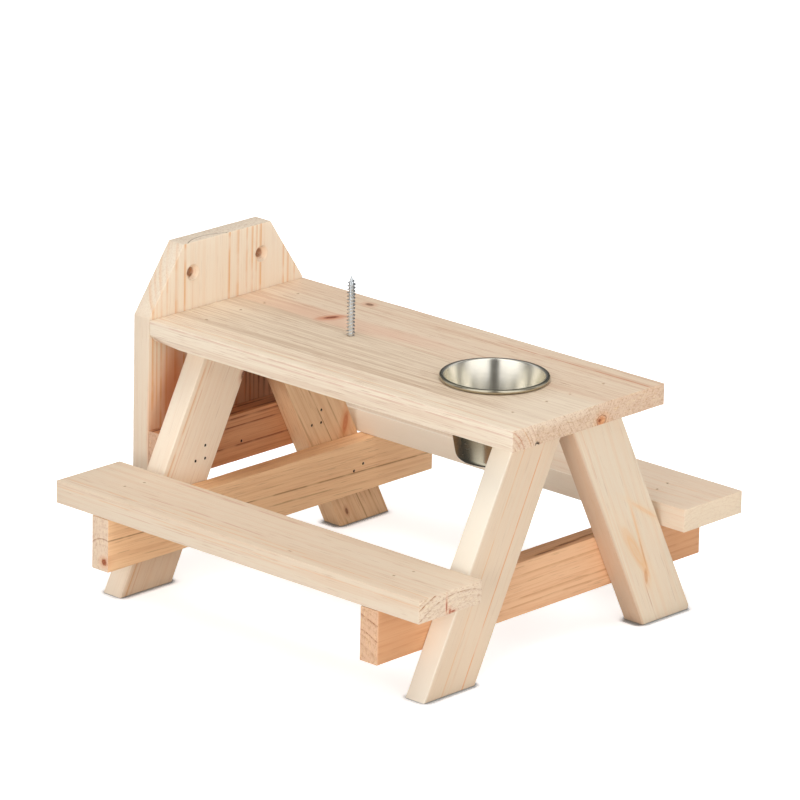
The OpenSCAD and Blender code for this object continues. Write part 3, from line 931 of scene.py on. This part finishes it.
def cross_board_pines():
    """The two beams and the cleat, from redder wood; across is z, depth is y, along is -x. The cleat is
    darker still, partly its own wood and partly painted shade under the tabletop.
    """
    rust_and_shade, gap, sawn = tone(206, 146, 100), tone(112, 66, 42), tone(236, 200, 168)
    front = stave((-5, -95), 4.2, 4.9, tone(240, 192, 149), tone(214, 150, 104), 0.45, 0.7, lines=[
        line((z, -119), 0.5, tone(196, 130, 86), 0.5) for z in (49.6, 35.7, 31.7)])
    rear = stave((27, 98.5), 3.4, 1.4, tone(252, 208, 161), tone(210, 146, 100), 0.35, 0.7, 1.5,
                 tilt=(0, -1.7), lines=[
        line((40.6, 95), 0.4, BROWN_LINE, 0.75, on_ends=0.7),
        line((34.2, 95), 0.35, BROWN_LINE, 0.5, (-60, 10))])
    split = tone(116, 54, 32)
    # The cleat's dark tone is partly painted shade under the tabletop
    cleat = stave((20, 170), 4.0, 7.7, tone(214, 157, 115), tone(176, 112, 74), 0.6, 0.8, lines=[
        line((z, 123), width, split, share) for z, width, share in (
            (78.3, 0.4, 0.8), (66.1, 0.4, 0.75), (83.6, 0.5, 0.7))])
    pine("front_beam", ALONG_X, [front], end_share=0.6, end_lines=1.4, knots=[
        # Painted shade: the front beam's ends under the benches are drawn darker and redder
        patch((41, -112, 139), (60, 40, 26), rust_and_shade, 0.65),
        patch((41, -112, -139), (60, 40, 22), rust_and_shade, 0.55),
        patch((41, -112, 140), (60, 40, 1.2), sawn, 0.5),
        knot((57.5, -116.4, -4), (1.4, 0.8, 11), gap, rust_and_shade, 0.85, 0.5),
        knot((57.5, -114.6, -25), (1.4, 1.0, 13), gap, rust_and_shade, 0.85, 0.5),
        knot((57.5, -113.5, -42), (1.4, 0.7, 9), gap, rust_and_shade, 0.7, 0.5)])
    pine("rear_beam", ALONG_X, [rear], end_share=0.7, end_lines=0.35, knots=[
        knot((31, 98.2, 139.5), (2.4, 2.4, 4), tone(150, 62, 24), tone(220, 154, 112), 1.0, 0.5)])
    pine("back_cleat", ALONG_X, [cleat])


def leg_pines():
    """Four straight-grained legs; across is square to the lean, depth is y, along is up the leg."""
    late = tone(228, 178, 132)
    flame, flame_glow, flame_edge = tone(234, 186, 136), tone(238, 203, 162), tone(210, 142, 90)
    dull = tone(199, 154, 120)
    front_left = stave((-20, -126), 5.0, 3.7, tone(229, 206, 179), late, 0.12, 0.3, 1.0,
                       tilt=(0, 1.0), lines=[
        line((-90.5, -133.5), 0.4, ORANGE_LINE, 0.55),
        line((-75.3, -133.5), 0.4, tone(226, 150, 90), 0.8)])
    front_right = stave((10, -126), 6.0, 2.9, tone(233, 215, 190), late, 0.12, 0.35, 1.0,
                        tilt=(0, -2.1), lines=[
        line((66.9, -133.5), 0.3, ORANGE_LINE, 0.3),
        line((77.4, -133.5), 0.3, tone(190, 128, 86), 0.6, (-60, -6))])
    rear_left = stave((-20, 116), 5.0, 5.2, tone(249, 229, 204), late, 0.12, 0.35, 1.5, lines=[
        line((-99, 108.5), 0.7, ORANGE_LINE, 0.6),
        line((-95.6, 108.5), 0.4, tone(222, 156, 100), 0.45)])
    rear_right = stave((20, 116), 4.0, 8.8, tone(238, 200, 158), tone(206, 148, 104), 0.35, 0.7, 1.5,
                       tilt=(0, 3.0), lines=[
        line((x, 108.5), width, BROWN_LINE, share) for x, width, share in (
            (83.4, 0.4, 0.65), (69, 0.5, 0.45), (93, 0.5, 0.5))])
    # Front left leg: painted shade of the bench just under the seat on its left side, painted light over the
    # rest of that side
    pine("front_left_leg", LEFT_LEAN, [front_left],
         painted_shades=[painted_shade((-104.7, -126, 11), (2, 40, 8), tone(244, 238, 234), 1.0)],
         knots=[patch((-104.7, -126, 40), (2, 40, 160), PAINTED_LIGHT_PALE, 0.9)])
    pine("front_right_leg", RIGHT_LEAN, [front_right], knots=[
        # Painted shade: the inner side under the tabletop is drawn duller and darker
        patch((62.7, -126, 40), (2, 40, 160), dull, 0.6),
        knot((94.8, -134, 32), (1.3, 4, 14.5), flame, flame_glow, 0.55, 0.3, turn=-31),
        knot((85.4, -134, 29), (0.9, 4, 15), flame, flame_glow, 0.6, 0.3, turn=4),
        knot((78.7, -134, 13), (4.4, 4, 25), flame, flame_glow, 0.7, 0.15, turn=-10),
        knot((83.2, -134, 7), (0.7, 4, 14), flame_edge, flame, 0.6, 0.3, turn=5),
        knot((79.6, -134, -7), (1.7, 4, 6), flame_edge, flame, 0.65, 0.3, turn=15)])
    # Rear left leg: painted shade of the bench on the front of its foot, painted light on its left side
    pine("rear_left_leg", LEFT_LEAN, [rear_left],
         painted_shades=[painted_shade((-88, 108.5, -35), (20, 1, 22), tone(238, 230, 223), 1.0)], knots=[
        patch((-104.7, 116, 40), (2, 40, 160), PAINTED_LIGHT_PALE, 0.4),
        knot((-65.3, 108, 96.8), (2.0, 6, 3.6), tone(120, 66, 42), tone(206, 142, 100), 0.95, 0.5)])
    pine("rear_right_leg", RIGHT_LEAN, [rear_right], knots=[
        knot((96.6, 108, 25), (2.6, 6, 8), tone(200, 110, 66), tone(222, 158, 112), 0.8, 0.6, turn=35),
        knot((73, 108, -27.3), (1.3, 5, 2.8), tone(130, 78, 52), tone(206, 150, 116), 0.9, 0.6)])


# Metal: spun lines, fine scratches and dull patches
def make_worn_metal_group():
    """Vector is in mm. Lines run round Z; Fine is how close they lie."""
    group, given, out = new_group(
        "worn_metal", {"Vector": ["Vector"], "Color": ["Color"], "Float": ["Fine", "Rough"]},
        {"Color": ["Color"], "Float": ["Roughness", "Height"]})
    level = put(group, "SeparateXYZ", {0: given["Vector"]}).outputs["Z"]
    turnings = line_noise(group, times(group, level, given["Fine"]), 3.0)
    patches = noise(group, given["Vector"], 0.12, 0.4, 3)[0]
    dull = fade(group, patches, 0.4, 0.75)
    colour = blend(group, times(group, dull, 0.06), given["Color"], tone(150, 144, 130))
    colour = blend(group, fade(group, turnings, 0.5, 0.8, 0.0, 0.1), colour, tone(120, 114, 100))
    rough = calc(group, "MULTIPLY_ADD", dull, 0.04, given["Rough"])
    rough = calc(group, "MULTIPLY_ADD", turnings, 0.06, rough)
    hand_out(group, out, Color=colour, Roughness=rough, Height=turnings)
    return group


def from_axis(tree, spot, node):
    """How far a spot lies out from a node's upright axis, as a level vector in mm."""
    return vector(tree, "MULTIPLY", vector(tree, "SUBTRACT", spot, axis_of(node)), (1 / MM, 1 / MM, 0))


def cup_inside(tree, spot):
    """1 on the walls that face the cup's axis, where the steel is drawn paler as painted light."""
    normal = put(tree, "NewGeometry").outputs["Normal"]
    facing = vector(tree, "DOT_PRODUCT", from_axis(tree, spot, "feed_cup"), normal)
    return fade(tree, facing, -0.5, 0.5, 1.0, 0.0)


def thread_root(tree, spot):
    """1 at the root of the screw's thread, 0 on its crest: where the thread is drawn darker as painted shade.
    """
    return fade(tree, vector(tree, "LENGTH", from_axis(tree, spot, "cob_screw")), *THREAD_SHADE, 1.0, 0.0)


def metal(name, colour, rough, fine, grain=0.0, relief=0.01 * MM, second=None):
    """Bare metal; grain is how far its lines draw a highlight out. Second is (mask, colour)."""
    material, tree = new_material(name)
    spot = put(tree, "TexCoord").outputs["Object"]
    scaled = put(tree, "Mapping", {"Vector": spot, "Scale": PER_MM}).outputs[0]
    if second:
        mask, second_colour = second
        colour = blend(tree, mask(tree, spot), colour, second_colour)
    worn = use(tree, WORN_METAL, {"Color": colour, "Vector": scaled, "Fine": fine, "Rough": rough})
    bump = put(tree, "Bump", {"Strength": 0.5, "Distance": relief, "Height": worn["Height"]})
    shader = put(tree, "BsdfPrincipled", {
        "Base Color": worn["Color"], "Metallic": 1.0, "Roughness": worn["Roughness"],
        "Normal": bump.outputs[0], "Anisotropic": grain, "Anisotropic Rotation": 0.25})
    put(tree, "OutputMaterial", {"Surface": shader.outputs[0]})
    return material


# Stage: a wide white floor, even light from all round, soft lamps, and darker panels for steel to mirror
WHITE = (1, 1, 1, 1)
FLOOR_SIZE = 40
FLOOR_TONE = (0.885, 0.9, 0.92, 1)
LIFT_NEAR = 0.6
LIFT_FAR = 0.7
LIFT_REACH = (0.4, 3.0)
# Painted shadow: the floor's colour goes darker near the feet by ambient occlusion
CONTACT_SHADOW_TONE = (0.38, 0.39, 0.4, 1)
CONTACT_REACH = 5 * MM
CONTACT_OPEN = (0.62, 1.0)
AMBIENT = 0.368
# Lamps as (place, size, power)
LAMPS = {
    "low_left_light": ((-2.4, -1.0, 0.55), 1.2, 25),
    "low_front_light": ((-0.6, -2.5, 0.7), 1.2, 15),
    "top_light": ((-0.2, -0.2, 2.8), 2.0, 36),
    "right_light": ((2.3, -0.7, 1.1), 1.4, 10),
    "back_light": ((-0.5, 2.3, 1.1), 1.4, 10),
}
# Panels as (bearing, level): 0 is towards the camera, counted to the right in degrees, from straight behind
FLOOR_PANELS = [
    (-180, 0.1), (-100, 0.07), (-80, 0.12), (-72, 0.25), (-60, 0.9), (-45, 1.3), (-30, 1.3), (-19, 0.95),
    (-9, 0.24), (2, 0.22), (10, 0.5), (19, 1.15), (35, 1.4), (50, 1.25), (60, 0.8), (71, 0.24),
    (100, 0.22), (122, 0.32), (150, 0.3), (166, 0.12), (180, 0.1)]
RIGHT_WALL = [
    (8, 0.1), (14, 1.5), (52, 1.5), (66, 0.8), (76, 0.2), (86, 0.2), (96, 0.7), (118, 0.7), (134, 0.2),
    (180, 0.1)]
WALL_PANELS = [(-angle, level) for angle, level in reversed(RIGHT_WALL)] + RIGHT_WALL


def background_rays(tree, rays):
    """1 for the rays that see the white background: from the camera, off metal and through glass."""
    seen = calc(tree, "ADD", rays["Is Camera Ray"], rays["Is Glossy Ray"])
    return calc(tree, "ADD", seen, rays["Is Transmission Ray"], clamp=True)


def mirrored_panels(tree, direction, panels):
    """The level that steel mirrors from a direction: panels set round the object, dark and light by turns."""
    east, north, _ = put(tree, "SeparateXYZ", {0: direction}).outputs
    bearing = calc(tree, "ARCTAN2", north, east)
    towards_camera = CAMERA_AZIMUTH - math.pi / 2
    turn = calc(tree, "MULTIPLY_ADD", bearing, 1 / math.tau, 0.5 - towards_camera / math.tau)
    turn = calc(tree, "FRACT", calc(tree, "ADD", turn, 1))
    return ramp(tree, turn, [(0.5 + angle / 360, level) for angle, level in panels])


def make_floor():
    bpy.ops.object.select_all(action="DESELECT")
    bpy.ops.mesh.primitive_plane_add(size=FLOOR_SIZE)
    floor = bpy.context.object
    floor.name = "studio_floor"
    material, tree = new_material("studio_white")
    rays = put(tree, "LightPath").outputs
    shown = background_rays(tree, rays)
    place = put(tree, "TexCoord").outputs["Object"]
    # Painted contact shadow: near the feet the floor is drawn darker and loses its lift
    clear_of_feet = put(tree, "AmbientOcclusion", {"Distance": CONTACT_REACH}, samples=6).outputs["AO"]
    clear_of_feet = fade(tree, clear_of_feet, *CONTACT_OPEN)
    matt = put(tree, "BsdfDiffuse", {"Color": blend(tree, clear_of_feet, CONTACT_SHADOW_TONE, FLOOR_TONE)})
    lift = fade(tree, vector(tree, "LENGTH", place), *LIFT_REACH, LIFT_NEAR, LIFT_FAR)
    lift = put(tree, "Emission", {"Strength": times(tree, lift, clear_of_feet, shown)})
    plain = put(tree, "AddShader", {0: matt.outputs[0], 1: lift.outputs[0]})
    from_cup = vector(tree, "SUBTRACT", place, axis_of("feed_cup"))
    panels = put(tree, "Emission", {"Strength": mirrored_panels(tree, from_cup, FLOOR_PANELS)})
    both = put(tree, "MixShader", {0: rays["Is Glossy Ray"], 1: plain.outputs[0], 2: panels.outputs[0]})
    put(tree, "OutputMaterial", {"Surface": both.outputs[0]})
    dress(floor, material)


def make_world():
    world = bpy.data.worlds.new("studio_light")
    bpy.context.scene.world = world
    world.use_nodes = True
    tree = world.node_tree
    tree.nodes.clear()
    rays = put(tree, "LightPath").outputs
    white = fade(tree, background_rays(tree, rays), 0, 1, AMBIENT, 1.0)
    panels = mirrored_panels(tree, put(tree, "TexCoord").outputs["Generated"], WALL_PANELS)
    panels = mix(tree, rays["Is Glossy Ray"], 1.0, panels)
    sky = put(tree, "Background", {"Color": WHITE, "Strength": times(tree, white, panels)})
    put(tree, "OutputWorld", {"Surface": sky.outputs[0]})


def make_lamp(name, place, size, power):
    bpy.ops.object.light_add(type="AREA", location=place)
    lamp = bpy.context.object
    lamp.name = name
    lamp.data.size = size
    lamp.data.energy = power
    lamp.visible_glossy = False
    lamp.rotation_euler = (AIM - place).to_track_quat("-Z", "Y").to_euler()


place_camera()
make_boards()
cup = make_cup()
screw = make_screw()

STAVE = make_stave_group()
RING_LINE = make_ring_line_group()
KNOT = make_knot_group()
END_GRAIN = make_end_grain_group()
WORN_METAL = make_worn_metal_group()
tabletop_pine()
back_plate_pine()
bench_pines()
cross_board_pines()
leg_pines()
# Painted light: the cup's inside is drawn much paler than its outside
dress(cup, metal("satin_steel", tone(190, 183, 162), rough=0.2, fine=2.2, grain=0.5,
                 second=(cup_inside, tone(239, 234, 221))))
# Painted shade: the screw's zinc is drawn a little darker in the thread's root
dress(screw, metal("bright_zinc", tone(246, 250, 254), rough=0.24, fine=1.3,
                   second=(thread_root, tone(226, 231, 234))))
dark_brads = metal("dull_brad_steel", tone(60, 52, 47), rough=0.6, fine=3.0)
dusty_brads = metal("dusty_brad_steel", tone(205, 180, 150), rough=0.7, fine=3.0)
for node, facing in BRADS_FACE.items():
    dress(frame["nodes"][node], dusty_brads if facing == (0, 0, 1) else dark_brads)

make_floor()
make_world()
for name, (place, size, power) in LAMPS.items():
    make_lamp(name, Vector(place), size, power)
